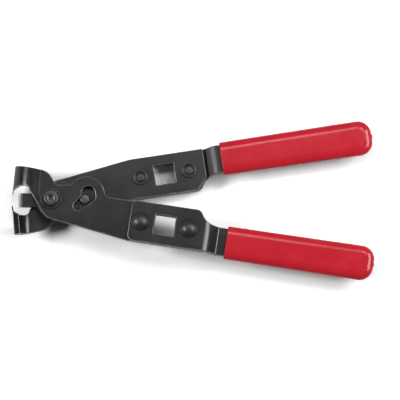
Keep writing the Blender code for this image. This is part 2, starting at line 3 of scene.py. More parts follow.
import bpy
from mathutils import Matrix, Vector


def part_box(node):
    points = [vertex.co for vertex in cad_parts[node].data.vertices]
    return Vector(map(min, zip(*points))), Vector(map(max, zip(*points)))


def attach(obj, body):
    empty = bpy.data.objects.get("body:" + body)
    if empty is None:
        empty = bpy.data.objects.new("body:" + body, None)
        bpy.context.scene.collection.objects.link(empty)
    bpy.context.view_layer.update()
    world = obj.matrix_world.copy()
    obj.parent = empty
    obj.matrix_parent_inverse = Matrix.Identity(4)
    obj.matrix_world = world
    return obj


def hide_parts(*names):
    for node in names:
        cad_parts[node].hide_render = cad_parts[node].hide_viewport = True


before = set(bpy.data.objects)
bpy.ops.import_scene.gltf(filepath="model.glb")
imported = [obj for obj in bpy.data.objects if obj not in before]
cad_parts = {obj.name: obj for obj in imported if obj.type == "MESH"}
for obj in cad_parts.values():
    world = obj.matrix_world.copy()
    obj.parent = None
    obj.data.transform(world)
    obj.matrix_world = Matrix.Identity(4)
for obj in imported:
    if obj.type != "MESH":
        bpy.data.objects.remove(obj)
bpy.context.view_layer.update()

# The camera stands over the tool as it lies on a table, and leans a little towards the lower
# handle, so that the near edges of the plates just show.
VIEW_WIDTH = 0.26
VIEW_DISTANCE = 4.0
VIEW_LEAN = math.radians(9)
VIEW_SHIFT = Vector((0.0967, 0.0003, 0))  # from the pivot to the middle of the view
SENSOR_WIDTH = 36
anvil_low, anvil_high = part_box("anvil_slide")
screw_low, screw_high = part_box("pivot_screw")
pivot = (screw_low + screw_high) / 2
pivot.z = (anvil_low.z + anvil_high.z) / 2
view_back = Vector((0, -math.sin(VIEW_LEAN), math.cos(VIEW_LEAN)))
camera_place = pivot + VIEW_SHIFT + view_back * VIEW_DISTANCE
bpy.ops.object.camera_add(location=camera_place, rotation=(VIEW_LEAN, 0, 0))
camera = bpy.context.object
camera.data.sensor_width = SENSOR_WIDTH
camera.data.lens = SENSOR_WIDTH * VIEW_DISTANCE / VIEW_WIDTH
bpy.context.scene.camera = camera
bpy.context.scene.view_settings.view_transform = "Standard"


# The table is a wide white board that keeps the soft shadows of the tool. The camera sees it burnt
# out to plain white, as on a product shot, and it lights the tool as a plain board would.
TABLE_SIZE = 6
TABLE_COLOUR = (0.8, 0.8, 0.8)
TABLE_BURNT_OUT = (1.52, 1.52, 1.52)


def add_node(tree, kind, inputs=None, **settings):
    """A node with its settings, and its inputs given as values or as other nodes' sockets."""
    node = tree.nodes.new("ShaderNode" + kind)
    for name, value in settings.items():
        setattr(node, name, value)
    for name, value in (inputs or {}).items():
        if isinstance(value, bpy.types.NodeSocket):
            tree.links.new(value, node.inputs[name])
        else:
            node.inputs[name].default_value = value
    return node


def mix_colour(tree, factor, first, second):
    """A mix of two colours, given as triples or as sockets, by a mask."""
    first, second = [(*colour, 1) if isinstance(colour, tuple) else colour for colour in (first, second)]
    return add_node(tree, "Mix", {0: factor, 6: first, 7: second}, data_type="RGBA").outputs[2]


def by_ray(tree, plain, direct):
    """The first colour for light that bounces, and the second where the camera looks straight at it."""
    return mix_colour(tree, add_node(tree, "LightPath").outputs["Is Camera Ray"], plain, direct)


bpy.ops.mesh.primitive_plane_add(size=TABLE_SIZE, location=(0, 0, 0))
table = bpy.context.object
table.name = "table"
board = bpy.data.materials.new("white_board")
board.use_nodes = True
board.node_tree.nodes.clear()
board_tone = by_ray(board.node_tree, TABLE_COLOUR, TABLE_BURNT_OUT)
paint = add_node(board.node_tree, "BsdfDiffuse", {"Color": board_tone})
add_node(board.node_tree, "OutputMaterial", {"Surface": paint.outputs[0]})
table.data.materials.append(board)


# The light of a small product studio in a dark room, which the camera sees as white: a small box
# high behind the tool, one on each side that puts a band on the bends and the domes, and a fill
# between the back and the right.
ROOM_TONE = (0.01, 0.01, 0.01)
ROOM_WHITE = (1.0, 1.0, 1.0)
LAMP_DISTANCE = 0.9
room = bpy.data.worlds.new("room")
room.use_nodes = True
room.node_tree.nodes.clear()
walls = add_node(room.node_tree, "Background", {"Color": by_ray(room.node_tree, ROOM_TONE, ROOM_WHITE)})
add_node(room.node_tree, "OutputWorld", {"Surface": walls.outputs[0]})
bpy.context.scene.world = room


def soft_box(name, tilt, way, size, share):
    """A soft box tilted from overhead towards a way in plan, and its share of the table's light."""
    tilt, way = math.radians(tilt), math.radians(way)
    back = Vector((math.cos(way) * math.sin(tilt), math.sin(way) * math.sin(tilt), math.cos(tilt)))
    bpy.ops.object.light_add(type="AREA", location=back * LAMP_DISTANCE)
    lamp = bpy.context.object
    lamp.name = name
    lamp.rotation_euler = back.to_track_quat("Z", "Y").to_euler()
    lamp.data.shape = "RECTANGLE"
    lamp.data.size, lamp.data.size_y = size
    lamp.data.energy = share * (math.pi * LAMP_DISTANCE) ** 2 / math.cos(tilt)


soft_box("back_box", tilt=24, way=90, size=(0.26, 0.26), share=0.11)
soft_box("right_box", tilt=50, way=9, size=(0.56, 0.36), share=0.41)
soft_box("left_box", tilt=54, way=180, size=(0.3, 0.24), share=0.36)
soft_box("corner_box", tilt=31, way=50, size=(0.2, 0.2), share=0.09)


# Two jaw plates, one for each half, stamped from 4 mm steel with the jaw bent over at the tip, and
# blackened by oxide in an oil bath. The shear breaks their edges, where the black rubs thin; the pale
# crests also serve as painted edge highlights.
PLATE_EDGE = 0.0005
PLATE_SKIN = {
    "dark": (0.048, 0.049, 0.053),
    "pale": (0.062, 0.063, 0.066),
    "roughness": 0.34,
    "edge_wear_and_highlight_amount": 1.0,
    "patch_scale": 70.0,
    "tint": 0.15,
}
SEAM = 0.00001  # points closer than this are one point
FLAT_ANGLE = math.radians(0.4)  # facets that turn less than this are one flat
SHARP_ANGLE = math.radians(35)  # edges that turn more than this are rounded
ROUNDING_STEPS = 2
FLATS_WEIGHT = 90
UPRIGHT = 0.2  # a sheared face leans less than this
JAW_WALL = 0.97  # a face squarer to X than this is drawn, not sheared


def select_only(piece):
    """Selects one piece and makes it the active one."""
    bpy.ops.object.select_all(action="DESELECT")
    bpy.context.view_layer.objects.active = piece
    piece.select_set(True)


def bare_copy(node, name, cuts):
    """A CAD node's shape as a new piece, its triangles joined into flats, parted along the cuts."""
    piece = bpy.data.objects.new(name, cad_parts[node].data.copy())
    bpy.context.scene.collection.objects.link(piece)
    select_only(piece)
    bpy.ops.mesh.customdata_custom_splitnormals_clear()
    bpy.ops.object.mode_set(mode="EDIT")
    bpy.ops.mesh.select_all(action="SELECT")
    bpy.ops.mesh.remove_doubles(threshold=SEAM)
    for place, square in cuts:
        bpy.ops.mesh.select_all(action="SELECT")
        bpy.ops.mesh.bisect(plane_co=place, plane_no=square)
        bpy.ops.mesh.mark_seam()
    bpy.ops.mesh.select_all(action="SELECT")
    bpy.ops.mesh.dissolve_limited(angle_limit=FLAT_ANGLE, delimit={"SEAM"})
    bpy.ops.object.mode_set(mode="OBJECT")
    return piece


def apply_modifiers(piece):
    select_only(piece)
    for modifier in list(piece.modifiers):
        bpy.ops.object.modifier_apply(modifier=modifier.name)


def round_edges(piece, width):
    """Rounds the sharp edges, with material 1 on the round faces, and stays in the piece's box."""
    corners = [vertex.co for vertex in piece.data.vertices]
    low = [min(corner[axis] for corner in corners) for axis in range(3)]
    high = [max(corner[axis] for corner in corners) for axis in range(3)]
    rounding = piece.modifiers.new("rounding", "BEVEL")
    rounding.width = width
    rounding.segments = ROUNDING_STEPS
    rounding.limit_method = "ANGLE"
    rounding.angle_limit = SHARP_ANGLE
    rounding.use_clamp_overlap = False
    rounding.material = 1
    piece.data.shade_smooth()
    flats = piece.modifiers.new("flats", "WEIGHTED_NORMAL")
    flats.weight = FLATS_WEIGHT
    apply_modifiers(piece)
    for vertex in piece.data.vertices:
        vertex.co = [min(max(vertex.co[axis], low[axis]), high[axis]) for axis in range(3)]


def break_edges(piece, width, finish, sheared=False):
    """Gives a piece its finish and rounded edges, and marks their crests and the sheared faces."""
    mesh = piece.data
    mesh.materials.clear()
    mesh.materials.append(finish)
    mesh.materials.append(finish)
    mesh.polygons.foreach_set("material_index", [0] * len(mesh.polygons))
    round_edges(piece, width)
    flat_faces = [face for face in mesh.polygons if face.material_index == 0]
    beside_flat = {index for face in flat_faces for index in face.vertices}
    edge = mesh.attributes.new("edge", "FLOAT", "POINT")
    edge.data.foreach_set("value", [float(index not in beside_flat) for index in range(len(mesh.vertices))])
    mesh.polygons.foreach_set("material_index", [0] * len(mesh.polygons))
    mesh.materials.pop()
    upright = [abs(face.normal.z) < UPRIGHT and abs(face.normal.x) < JAW_WALL for face in mesh.polygons]
    cut = mesh.attributes.new("cut", "FLOAT", "FACE")
    cut.data.foreach_set("value", [float(sheared and stands) for stands in upright])


def new_group(name, inputs, outputs):
    """A shader node group with number inputs and outputs, and the sockets of its two end nodes."""
    tree = bpy.data.node_groups.new(name, "ShaderNodeTree")
    for label in inputs:
        tree.interface.new_socket(label, in_out="INPUT", socket_type="NodeSocketFloat")
    for label in outputs:
        tree.interface.new_socket(label, in_out="OUTPUT", socket_type="NodeSocketFloat")
    return tree, tree.nodes.new("NodeGroupInput").outputs, tree.nodes.new("NodeGroupOutput").inputs


def use_group(tree, group, **values):
    """The outputs of a group placed in a material, its inputs named with underscores for spaces."""
    node = tree.nodes.new("ShaderNodeGroup")
    node.node_tree = group
    for name, value in values.items():
        node.inputs[name.replace("_", " ")].default_value = value
    return node.outputs


def remap(tree, value, old, new=(0.0, 1.0)):
    """The value stretched from one range to another and kept inside it."""
    return add_node(tree, "MapRange", {0: value, 1: old[0], 2: old[1], 3: new[0], 4: new[1]}).outputs[0]


def combine(tree, operation, first, second=0.0):
    return add_node(tree, "Math", {0: first, 1: second}, operation=operation).outputs[0]


def object_place(tree):
    return add_node(tree, "TexCoord").outputs["Object"]


def split(tree, vector):
    return add_node(tree, "SeparateXYZ", {0: vector}).outputs


def noise(tree, place, scale, detail=3.0, roughness=0.55):
    sockets = {"Vector": place, "Scale": scale, "Detail": detail, "Roughness": roughness}
    return add_node(tree, "TexNoise", sockets).outputs["Fac"]


def streaks(tree, place, squeeze, turn=(0.0, 0.0, 0.0), detail=1.0):
    """Noise squeezed more along some axes than others, so that it makes hairs along the least."""
    squeezed = add_node(tree, "Mapping", {"Vector": place, "Rotation": turn, "Scale": squeeze})
    return noise(tree, squeezed.outputs[0], 1.0, detail)


# Edge crests paled to bare steel: rubbed wear and a painted edge highlight.
EDGE_PATCH_SCALE = 160.0
EDGE_PATCH_RANGE = (0.34, 0.66)
EDGE_PATCH_LEAST = 0.3
CREST_RANGE = (0.05, 0.65)


def edge_wear_and_highlight_group():
    """A mask of the crests of the rounded edges, where bare steel shows as rubbed wear and as a painted
    edge highlight, broken up by uneven handling.
    """
    tree, start, end = new_group("edge_wear_and_highlight", ("Amount",), ("Mask",))
    crest = add_node(tree, "Attribute", attribute_name="edge").outputs["Fac"]
    patches = noise(tree, object_place(tree), EDGE_PATCH_SCALE, detail=4.0)
    rubbed_and_lit = remap(tree, patches, EDGE_PATCH_RANGE, (EDGE_PATCH_LEAST, 1.0))
    band = remap(tree, crest, CREST_RANGE)
    mask = combine(tree, "MULTIPLY", combine(tree, "MULTIPLY", band, rubbed_and_lit), start["Amount"])
    tree.links.new(mask, end["Mask"])
    return tree


PATCH_RANGE = (0.3, 0.7)
GRAIN_SCALE = 2600.0
TINT_SCALE = 120.0
TINT_RANGE = (0.35, 0.65)
SCRATCHED_SCALE = 55.0
SCRATCHED_RANGE = (0.46, 0.62)
HAIR_SQUEEZE = (45, 2400, 500)
HAIR_RANGE = (0.66, 0.74)
STRAY_SQUEEZE = (60, 1700, 300)
STRAY_TURN = (0.3, 0.2, 1.1)
STRAY_RANGE = (0.7, 0.76)


def oxide_skin_group():
    """The uneven black layer: cloudy patches, fine etched grain, hair scratches and oil tints."""
    layers = ("Patches", "Grain", "Scratches", "Tint")
    tree, start, end = new_group("oxide_skin", ("Patch Scale", "Turn"), layers)
    place = object_place(tree)
    clouds = noise(tree, place, start["Patch Scale"], detail=6.0, roughness=0.6)
    turn = add_node(tree, "CombineXYZ", {2: start["Turn"]}).outputs[0]
    hairs = remap(tree, streaks(tree, place, HAIR_SQUEEZE, turn), HAIR_RANGE)
    strays = remap(tree, streaks(tree, place, STRAY_SQUEEZE, STRAY_TURN), STRAY_RANGE)
    scratched = remap(tree, noise(tree, place, SCRATCHED_SCALE, detail=2.0), SCRATCHED_RANGE)
    scratches = combine(tree, "MULTIPLY", combine(tree, "MAXIMUM", hairs, strays), scratched)
    tree.links.new(remap(tree, clouds, PATCH_RANGE), end["Patches"])
    tree.links.new(noise(tree, place, GRAIN_SCALE, detail=2.0), end["Grain"])
    tree.links.new(scratches, end["Scratches"])
    tree.links.new(remap(tree, noise(tree, place, TINT_SCALE, detail=2.0), TINT_RANGE), end["Tint"])
    return tree


edge_wear_and_highlight = edge_wear_and_highlight_group()
oxide_skin = oxide_skin_group()


def new_finish(name):
    """An empty material and its tree and main shader."""
    finish = bpy.data.materials.new(name)
    finish.use_nodes = True
    return finish, finish.node_tree, finish.node_tree.nodes["Principled BSDF"]


CREST_BLUR = 0.015
FOOT_BLUR = 0.03
PATCHY_BEND = 0.45


def bend_wear_and_light_mask(tree, patches, bend_lift, crest, foot):
    """A mask of the sloping faces, where the black is stretched thin in patches by the bending and painted
    light lifts the slopes that lie in shade.
    """
    rise = combine(tree, "ABSOLUTE", split(tree, add_node(tree, "TexCoord").outputs["Normal"])[2])
    under_crest = remap(tree, rise, (crest + CREST_BLUR, crest - CREST_BLUR))
    over_foot = remap(tree, rise, (foot - FOOT_BLUR, foot + FOOT_BLUR))
    thin = remap(tree, patches, (0.0, 1.0), (PATCHY_BEND * bend_lift, bend_lift))
    return combine(tree, "MULTIPLY", combine(tree, "MULTIPLY", under_crest, over_foot), thin)


BARE_STEEL_AND_HIGHLIGHT = (0.36, 0.355, 0.35)
SHEARED_STEEL_AND_REFLECTION = (0.3, 0.3, 0.3)
BENT_STEEL_AND_PAINTED_LIGHT = (0.2, 0.2, 0.205)
OIL_GREEN = (0.03, 0.042, 0.037)
OIL_PURPLE = (0.042, 0.033, 0.042)
SCRATCH_SHINE = 0.07
TORN_SQUEEZE = (1500, 1500, 60)
TORN_RANGE = (0.3, 0.7)
TORN_SHINE = (0.45, 0.9)
CLOUD_SMOOTHER = 0.05
CLOUD_ROUGHER = 0.06
BARE_ROUGHER = 0.08
OXIDE_METALLIC = 0.72
BARE_METALLIC = 0.4
GRAIN_HEIGHT = 0.6
SCRATCH_DEPTH = 0.5
RELIEF = 0.00002
RELIEF_STRENGTH = 0.5


def black_oxide(
    name, dark, pale, roughness, edge_wear_and_highlight_amount, patch_scale, tint, turn=0.0, bend_lift=0.0, crest=0.975, foot=0.87
):
    """Blackened steel: clouded oxide over fine grain, bare steel showing where edges rub, the edge crests
    doubling as painted highlights.
    """
    finish, tree, shader = new_finish(name)
    skin = use_group(tree, oxide_skin, Patch_Scale=patch_scale, Turn=turn)
    rubbed_and_lit = use_group(tree, edge_wear_and_highlight, Amount=edge_wear_and_highlight_amount)["Mask"]
    bends = bend_wear_and_light_mask(tree, skin["Patches"], bend_lift, crest, foot)
    cut = add_node(tree, "Attribute", attribute_name="cut").outputs["Fac"]
    cloud = mix_colour(tree, skin["Patches"], dark, pale)
    oil = mix_colour(tree, skin["Tint"], OIL_GREEN, OIL_PURPLE)
    oiled = mix_colour(tree, tint, cloud, oil)
    marks = combine(tree, "MULTIPLY", skin["Scratches"], SCRATCH_SHINE)
    scratched = mix_colour(tree, marks, oiled, BARE_STEEL_AND_HIGHLIGHT)
    # The bends are paled towards bare steel: oxide thinned by bending, and painted light on slopes in
    # shade.
    bend_lifted = mix_colour(tree, bends, scratched, BENT_STEEL_AND_PAINTED_LIGHT)
    # Upright cut faces are painted pale: shear streaks, and a painted reflection of the white table where
    # they lie in shade.
    torn = streaks(tree, object_place(tree), TORN_SQUEEZE, detail=2.0)
    shine = combine(tree, "MULTIPLY", cut, remap(tree, torn, TORN_RANGE, TORN_SHINE))
    sheared = mix_colour(tree, shine, bend_lifted, SHEARED_STEEL_AND_REFLECTION)
    tree.links.new(mix_colour(tree, rubbed_and_lit, sheared, BARE_STEEL_AND_HIGHLIGHT), shader.inputs["Base Color"])
    bared = combine(tree, "MAXIMUM", combine(tree, "MAXIMUM", rubbed_and_lit, cut), bends)
    smoothest, roughest = roughness - CLOUD_SMOOTHER, roughness + CLOUD_ROUGHER
    cloudy = remap(tree, skin["Patches"], (0.0, 1.0), (smoothest, roughest))
    rougher = combine(tree, "MULTIPLY", bared, BARE_ROUGHER)
    tree.links.new(combine(tree, "ADD", cloudy, rougher), shader.inputs["Roughness"])
    metallic = remap(tree, bared, (0.0, 1.0), (OXIDE_METALLIC, BARE_METALLIC))
    tree.links.new(metallic, shader.inputs["Metallic"])
    etched = combine(tree, "MULTIPLY", skin["Grain"], GRAIN_HEIGHT)
    scored = combine(tree, "MULTIPLY", skin["Scratches"], SCRATCH_DEPTH)
    height = combine(tree, "SUBTRACT", etched, scored)
    relief = add_node(tree, "Bump", {"Strength": RELIEF_STRENGTH, "Distance": RELIEF, "Height": height})
    tree.links.new(relief.outputs[0], shader.inputs["Normal"])
    return finish


def middle(node):
    low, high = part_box(node)
    return (low + high) / 2


def arm_cuts(side):
    """Cuts through the row of holes in an arm, and through the pivot and the cam slot."""
    inner, outer = middle(f"{side}_inner_rivet"), middle(f"{side}_outer_rivet")
    along = outer - inner
    return [(inner, (-along.y, along.x, 0)), (pivot, (0, 1, 0))]


def lay_over(finish, mask, colour):
    """Lays a colour over a finish where the mask is strong."""
    tree = finish.node_tree
    socket = tree.nodes["Principled BSDF"].inputs["Base Color"]
    tree.links.new(mix_colour(tree, mask, socket.links[0].from_socket, colour), socket)


# The crease line is a painted highlight where the jaw's bend starts.
CREASE_PLACE = 0.0083  # from the pivot towards the jaw
CREASE_LEAN = 0.08
CREASE_WIDTH = 0.0005
CREASE_HIGHLIGHT = 0.4
CREASE_FROM = 0.002  # above the pivot


def crease_highlight_line(finish):
    """A thin line of bare-steel tone painted where the jaw starts to bend, a painted highlight on the
    bend's edge, across the upper half of the plate.
    """
    tree = finish.node_tree
    spot = split(tree, object_place(tree))
    across = combine(tree, "ADD", spot[0], CREASE_PLACE - pivot.x)
    along = combine(tree, "SUBTRACT", spot[1], pivot.y)
    off = combine(tree, "SUBTRACT", across, combine(tree, "MULTIPLY", along, CREASE_LEAN))
    line = remap(tree, combine(tree, "ABSOLUTE", off), (CREASE_WIDTH, 0.0), (0.0, CREASE_HIGHLIGHT))
    ends = remap(tree, along, (CREASE_FROM, 2 * CREASE_FROM))
    # Painted highlight: the bare-steel tone is laid along the crease.
    lay_over(finish, combine(tree, "MULTIPLY", line, ends), BARE_STEEL_AND_HIGHLIGHT)


BEND_FROM = 0.011
BEND_TO = 0.014
DIE_POLISH = 0.12


def burnish_jaw(finish):
    """The bend of the jaw is smoother than the flat sheet, because the die drags over it."""
    tree = finish.node_tree
    spot = split(tree, object_place(tree))
    polish = remap(tree, spot[0], (pivot.x - BEND_FROM, pivot.x - BEND_TO), (0.0, DIE_POLISH))
    socket = tree.nodes["Principled BSDF"].inputs["Roughness"]
    tree.links.new(combine(tree, "SUBTRACT", socket.links[0].from_socket, polish), socket)


arm_line = middle("front_outer_rivet") - middle("front_inner_rivet")
arm_angle = math.atan2(-arm_line.y, arm_line.x)
arm_turns = {"front": arm_angle, "rear": -arm_angle}
for side, turn in arm_turns.items():
    plate = bare_copy(f"{side}_jaw_plate", f"{side}_jaw_stamping", arm_cuts(side))
    plate_oxide = black_oxide(f"{side}_plate_oxide", turn=turn, **PLATE_SKIN)
    burnish_jaw(plate_oxide)
    if side == "front":
        crease_highlight_line(plate_oxide)
    break_edges(plate, PLATE_EDGE, plate_oxide, sheared=True)
    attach(plate, f"{side}_half")
    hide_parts(f"{side}_jaw_plate")


# Two handle bars of the same 4 mm steel, flat on the jaw plate and joggled down to the middle
# plane, where a narrow strip carries the grip. They are blackened in the same bath.
BAR_EDGE = 0.0005
BAR_SKIN = {
    "dark": (0.05, 0.051, 0.055),
    "pale": (0.068, 0.068, 0.07),
    "edge_wear_and_highlight_amount": 1.0,
    "patch_scale": 55.0,
    "tint": 0.3,
}
# The bend lift is partly oxide thinned by bending and partly painted light on the shaded joggle slopes.
BAR_BENDS = {
    "front": {"roughness": 0.33, "bend_lift": 0.9, "crest": 0.975, "foot": 0.87},
    "rear": {"roughness": 0.48, "bend_lift": 0.6, "crest": 0.985, "foot": 0.4},
}
# Painted shade: a dark ring round each rivet head, in place of the shading of the pressed dish.
DENT_SHADE_INSIDE = 0.0052
DENT_SHADE_OUTSIDE = 0.0068
DENT_SHADE_SHARE = 0.5
DENT_SHADE_TONE = (0.01, 0.01, 0.01)


def dent_shade_rings(finish, side):
    """Faint dark rings of painted shade on a bar round its two rivet heads, standing in for the shallow
    dish the press leaves there.
    """
    tree = finish.node_tree
    place = object_place(tree)
    for rivet_name in ("inner", "outer"):
        centre = middle(f"{side}_{rivet_name}_rivet")
        flat = add_node(tree, "VectorMath", {0: place, 1: (1, 1, 0)}, operation="MULTIPLY").outputs[0]
        away = add_node(tree, "VectorMath", {0: flat, 1: (centre.x, centre.y, 0)}, operation="DISTANCE")
        ring = remap(tree, away.outputs["Value"], (DENT_SHADE_OUTSIDE, DENT_SHADE_INSIDE), (0.0, DENT_SHADE_SHARE))
        lay_over(finish, ring, DENT_SHADE_TONE)


for side, turn in arm_turns.items():
    bar = bare_copy(f"{side}_handle_bar", f"{side}_handle_strip", arm_cuts(side))
    bar_oxide = black_oxide(f"{side}_bar_oxide", turn=turn, **BAR_SKIN, **BAR_BENDS[side])
    dent_shade_rings(bar_oxide, side)
    break_edges(bar, BAR_EDGE, bar_oxide, sheared=True)
    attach(bar, f"{side}_half")
    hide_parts(f"{side}_handle_bar")


# Four solid steel rivets join the plates and bars. The press forms a round head on the bar and
# rolls the tail into a ring on the plate, which leaves both brighter than the sheet round them.
TURNED_FACETS = 96
RIVET_EDGE = 0.0003
RIVET_SKIN = {
    "dark": (0.08, 0.081, 0.085),
    "pale": (0.105, 0.105, 0.108),
    "roughness": 0.44,
    "edge_wear_and_highlight_amount": 2.2,
    "patch_scale": 260.0,
    "tint": 0.1,
}
HEAD_ROUND = 0.0062
HEAD_FILLET = 0.0003
CAP_RINGS = 14
SHANK_RADIUS = 0.0036
TAIL_RADIUS = 0.0048
TAIL_HEIGHT = 0.0012
RIM_RADIUS = 0.0039
# The tail's rim is paled all round: wear, and a painted highlight ring on the rolled edge.
RIM_WEAR_AND_HIGHLIGHT = 1.0
GROOVE_OUTSIDE = 0.0036
GROOVE_INSIDE = 0.0029
GROOVE_DEPTH = 0.0017
BUTTON_RADIUS = 0.0024
BUTTON_DEPTH = 0.0009


def turned(name, profile):
    """A turned piece: its profile of (radius, height) is drawn point by point, then spun."""
    bpy.ops.object.select_all(action="DESELECT")
    bpy.ops.mesh.primitive_circle_add(vertices=3, radius=SEAM, location=(0, 0, 0))
    piece = bpy.context.object
    piece.name = name
    bpy.ops.object.mode_set(mode="EDIT")
    bpy.ops.mesh.select_all(action="SELECT")
    bpy.ops.mesh.merge(type="CENTER")
    bpy.ops.transform.translate(value=(profile[0][0], 0, profile[0][1]))
    for near, far in zip(profile, profile[1:]):
        step = (far[0] - near[0], 0, far[1] - near[1])
        bpy.ops.mesh.extrude_vertices_move(TRANSFORM_OT_translate={"value": step})
    bpy.ops.mesh.select_all(action="SELECT")
    bpy.ops.mesh.spin(steps=TURNED_FACETS, angle=2 * math.pi, center=(0, 0, 0), axis=(0, 0, 1))
    bpy.ops.mesh.select_all(action="SELECT")
    bpy.ops.mesh.remove_doubles(threshold=SEAM)
    bpy.ops.mesh.normals_make_consistent(inside=False)
    bpy.ops.object.mode_set(mode="OBJECT")
    return piece


def set_down(piece, place, turned_over=False):
    """Puts a piece that was made at the origin in its place, turned half over if it is a rear one."""
    select_only(piece)
    piece.rotation_euler = (math.pi if turned_over else 0, 0, 0)
    piece.location = place
    bpy.ops.object.transform_apply(location=True, rotation=True, scale=True)


def same_again(piece, name):
    """Another of the same piece with its own mesh."""
    copy = piece.copy()
    copy.data = piece.data.copy()
    copy.name = name
    bpy.context.scene.collection.objects.link(copy)
    return copy


def rivet_profile():
    """The tail's end with its button, groove and rim, the shank, and the round cap of the head."""
    low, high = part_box("front_inner_rivet")
    head_radius = (high.x - low.x) / 2
    head_top = high.z - pivot.z - SEAM
    head_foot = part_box("front_handle_bar")[1].z - pivot.z
    tail_end = low.z - pivot.z + SEAM
    profile = [
        (0, tail_end + BUTTON_DEPTH),
        (BUTTON_RADIUS, tail_end + BUTTON_DEPTH),
        (GROOVE_INSIDE, tail_end + GROOVE_DEPTH),
        (GROOVE_OUTSIDE, tail_end + GROOVE_DEPTH),
        (RIM_RADIUS, tail_end),
        (TAIL_RADIUS, tail_end),
        (TAIL_RADIUS, tail_end + TAIL_HEIGHT),
        (SHANK_RADIUS, tail_end + TAIL_HEIGHT),
        (SHANK_RADIUS, head_foot + HEAD_FILLET),
        (head_radius, head_foot + HEAD_FILLET),
    ]
    rise = head_top - head_foot - HEAD_FILLET
    cap_angle = math.asin(math.sqrt(2 * HEAD_ROUND * rise - rise ** 2) / HEAD_ROUND)
    for ring in range(CAP_RINGS, -1, -1):
        angle = cap_angle * ring / CAP_RINGS
        profile.append((HEAD_ROUND * math.sin(angle), head_top - HEAD_ROUND * (1 - math.cos(angle))))
    return profile


def wear_and_light_rim(piece):
    """Leaves the head evenly black, and pales the rim at the very end of the tail all round, as wear and as
    a painted highlight ring.
    """
    end = min(vertex.co.z for vertex in piece.data.vertices)
    edge = piece.data.attributes["edge"].data
    for vertex in piece.data.vertices:
        if vertex.co.z > 0:
            edge[vertex.index].value = 0.0
        elif vertex.co.z < end + SEAM:
            edge[vertex.index].value = RIM_WEAR_AND_HIGHLIGHT


rivet = turned("front_inner_rivet_formed", rivet_profile())
break_edges(rivet, RIVET_EDGE, black_oxide("rivet_oxide", **RIVET_SKIN))
wear_and_light_rim(rivet)
rivets = {"front_inner": rivet}
for name in ("front_outer", "rear_inner", "rear_outer"):
    rivets[name] = same_again(rivet, f"{name}_rivet_formed")
for name, piece in rivets.items():
    side = name.split("_")[0]
    place = middle(f"{name}_rivet")
    set_down(piece, (place.x, place.y, pivot.z), turned_over=(side == "rear"))
    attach(piece, f"{side}_half")
    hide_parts(f"{name}_rivet")


# The pivot: a shouldered screw with a hex socket, a thin washer under its head and another under
# the hex nut on the far side. They are turned or cold-formed steel, blackened, their rims rubbed pale,
# which also paints a highlight on them.
SCREW_SKIN = {
    "dark": (0.07, 0.07, 0.073),
    "pale": (0.1, 0.1, 0.102),
    "roughness": 0.36,
    "edge_wear_and_highlight_amount": 0.9,
    "patch_scale": 300.0,
    "tint": 0.05,
}
HEAD_RADIUS = 0.0045
HEAD_HEIGHT = 0.003
HEAD_BEVEL = 0.0005
SOCKET_DEPTH = 0.002
SOCKET_FLATS = 0.004
SHOULDER_RADIUS = 0.0032
THREAD_RADIUS = 0.0027
THREAD_PITCH = 0.001
THREAD_DEPTH = 0.0003
NUT_EDGE = 0.00025
WASHER_RADIUS = 0.00675
WASHER_BORE = 0.0035
WASHER_THICKNESS = 0.001
WASHER_EDGE = 0.00018
WASHER_SKIN = {
    "dark": (0.05, 0.051, 0.054),
    "pale": (0.068, 0.068, 0.07),
    "roughness": 0.33,
    "edge_wear_and_highlight_amount": 0.5,
    "patch_scale": 200.0,
    "tint": 0.1,
}


def screw_profile():
    """The thread as ridges from the end to one pitch past the nut, the shoulder and the head."""
    root = THREAD_RADIUS - THREAD_DEPTH
    top = screw_high.z - pivot.z
    end = screw_low.z - pivot.z
    thread_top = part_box("pivot_nut")[1].z - pivot.z + THREAD_PITCH
    profile = [(0, end), (root, end)]
    height, ridge = end + THREAD_PITCH / 2, True
    while height < thread_top:
        profile.append((THREAD_RADIUS if ridge else root, height))
        height, ridge = height + THREAD_PITCH / 2, not ridge
    return profile + [
        (root, thread_top),
        (SHOULDER_RADIUS, thread_top),
        (SHOULDER_RADIUS, top - HEAD_HEIGHT),
        (HEAD_RADIUS, top - HEAD_HEIGHT),
        (HEAD_RADIUS, top),
        (0, top),
    ]


def sink_socket(piece):
    """Cuts the hexagon of the socket into the top of the screw's head."""
    place = (0, 0, screw_high.z - pivot.z)
    radius = SOCKET_FLATS / math.sqrt(3)
    bpy.ops.object.select_all(action="DESELECT")
    bpy.ops.mesh.primitive_cylinder_add(vertices=6, radius=radius, depth=2 * SOCKET_DEPTH, location=place)
    cutter = bpy.context.object
    socket = piece.modifiers.new("socket", "BOOLEAN")
    socket.object = cutter
    apply_modifiers(piece)
    bpy.data.objects.remove(cutter)


screw = turned("pivot_screw_turned", screw_profile())
sink_socket(screw)
screw_oxide = black_oxide("screw_oxide", **SCREW_SKIN)
break_edges(screw, HEAD_BEVEL, screw_oxide)
set_down(screw, pivot)
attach(screw, "pivot_set")
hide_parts("pivot_screw")

washer_rim = [
    (WASHER_BORE, 0),
    (WASHER_RADIUS, 0),
    (WASHER_RADIUS, WASHER_THICKNESS),
    (WASHER_BORE, WASHER_THICKNESS),
    (WASHER_BORE, 0),
]
front_washer = turned("front_pivot_washer_pressed", washer_rim)
break_edges(front_washer, WASHER_EDGE, black_oxide("washer_oxide", **WASHER_SKIN))
rear_washer = same_again(front_washer, "rear_pivot_washer_pressed")
for side, washer in (("front", front_washer), ("rear", rear_washer)):
    set_down(washer, (pivot.x, pivot.y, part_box(f"{side}_pivot_washer")[0].z))
    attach(washer, "pivot_set")
    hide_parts(f"{side}_pivot_washer")

nut = bare_copy("pivot_nut", "pivot_nut_formed", [(pivot, (1, 0, 0))])
break_edges(nut, NUT_EDGE, screw_oxide)
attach(nut, "pivot_set")
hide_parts("pivot_nut")


